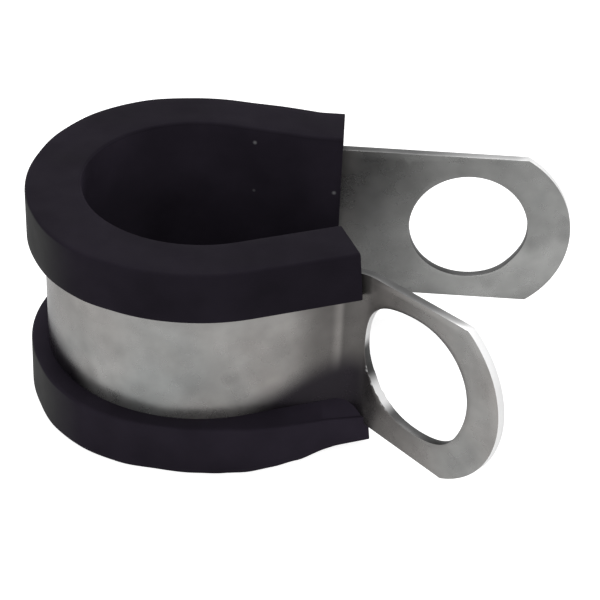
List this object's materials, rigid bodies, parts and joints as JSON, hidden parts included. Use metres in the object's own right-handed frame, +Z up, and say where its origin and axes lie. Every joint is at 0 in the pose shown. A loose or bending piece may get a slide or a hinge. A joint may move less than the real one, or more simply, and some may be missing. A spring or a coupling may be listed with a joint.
{
  "type": "p clip",
  "caption": "Rubber-lined steel loop clip, opened, with two spread ears that each carry a bolt hole, for fastening a cable or hose.",
  "frame": {"origin": "on the loop's axis, in the plane of the liner's lower rim, which the clip stands on", "axes": "+Z up along the loop's axis; +X from the loop towards the ears; +Y towards the side of the back ear, which runs almost straight on from its leg"},
  "size_m": [0.0487, 0.0364, 0.02],
  "materials": {
    "band": "satin stainless strip",
    "liner": "satin black rubber"
  },
  "bodies": {
    "root": {"band": "band", "liner": "liner"}
  },
  "joints": []
}
